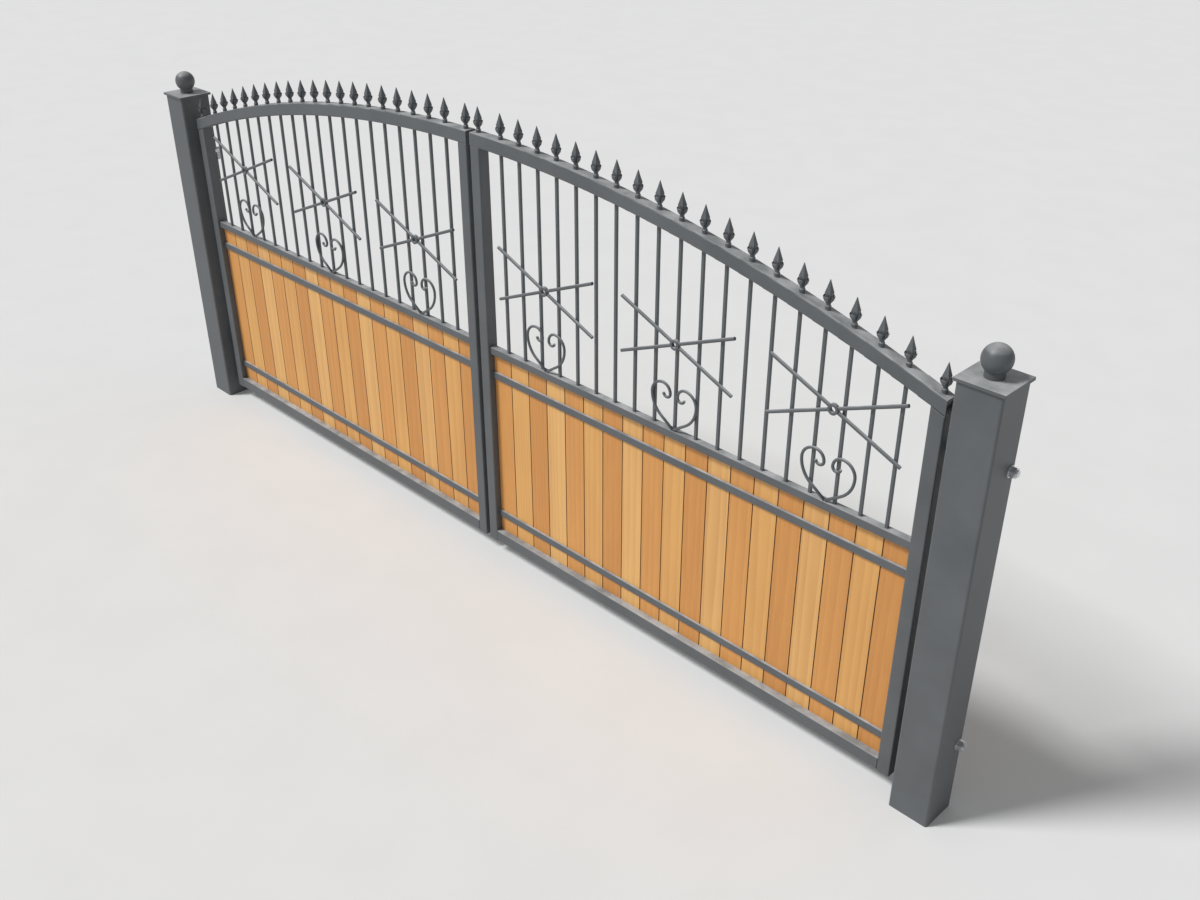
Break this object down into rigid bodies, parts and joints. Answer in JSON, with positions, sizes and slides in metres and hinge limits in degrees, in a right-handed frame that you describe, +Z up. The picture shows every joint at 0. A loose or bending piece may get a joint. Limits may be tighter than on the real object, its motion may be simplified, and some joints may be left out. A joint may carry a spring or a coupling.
{
  "type": "double driveway gate",
  "caption": "Double swing driveway gate between square posts: arched tubular leaves with spear finials, crosses and scroll hearts above, upright wooden boards below.",
  "frame": {"origin": "centre of the left post's foot, on its flat underside", "axes": "+X from the left post to the right post, +Y to the back, where the leaves swing open, +Z up"},
  "size_m": [4.33, 0.154, 1.8499],
  "materials": {
    "anthracite_steel": "satin powder coat",
    "zinc_plated_steel": "bright zinc plating",
    "wood_boards": "oiled softwood"
  },
  "bodies": {
    "posts": {"left_post": "anthracite_steel", "left_post_cap": "anthracite_steel", "left_ball_finial": "anthracite_steel", "left_hinge_eye_bolts": "zinc_plated_steel", "left_hinge_nuts": "zinc_plated_steel", "right_post": "anthracite_steel", "right_post_cap": "anthracite_steel", "right_ball_finial": "anthracite_steel", "right_hinge_eye_bolts": "zinc_plated_steel", "right_hinge_nuts": "zinc_plated_steel"},
    "left_leaf": {"left_hinge_stile": "anthracite_steel", "left_meeting_stile": "anthracite_steel", "left_top_rail": "anthracite_steel", "left_mid_rail": "anthracite_steel", "left_bottom_rail": "anthracite_steel", "left_trim_bars": "anthracite_steel", "left_boards": "wood_boards", "left_bars": "anthracite_steel", "left_spear_finials": "anthracite_steel", "left_crosses": "anthracite_steel", "left_scroll_hearts": "anthracite_steel", "left_hinge_pins": "zinc_plated_steel"},
    "right_leaf": {"right_hinge_stile": "anthracite_steel", "right_meeting_stile": "anthracite_steel", "right_top_rail": "anthracite_steel", "right_mid_rail": "anthracite_steel", "right_bottom_rail": "anthracite_steel", "right_trim_bars": "anthracite_steel", "right_boards": "wood_boards", "right_bars": "anthracite_steel", "right_spear_finials": "anthracite_steel", "right_crosses": "anthracite_steel", "right_scroll_hearts": "anthracite_steel", "right_hinge_pins": "zinc_plated_steel"}
  },
  "joints": [
    {"name": "left_leaf_hinge", "type": "hinge", "parent": "posts", "child": "left_leaf", "pos_m": [0.124, 0.043, 0.7655], "axis": [0, 0, 1], "range_deg": [0, 90]},
    {"name": "right_leaf_hinge", "type": "hinge", "parent": "posts", "child": "right_leaf", "pos_m": [4.016, 0.043, 0.7655], "axis": [0, 0, -1], "range_deg": [0, 90]}
  ]
}
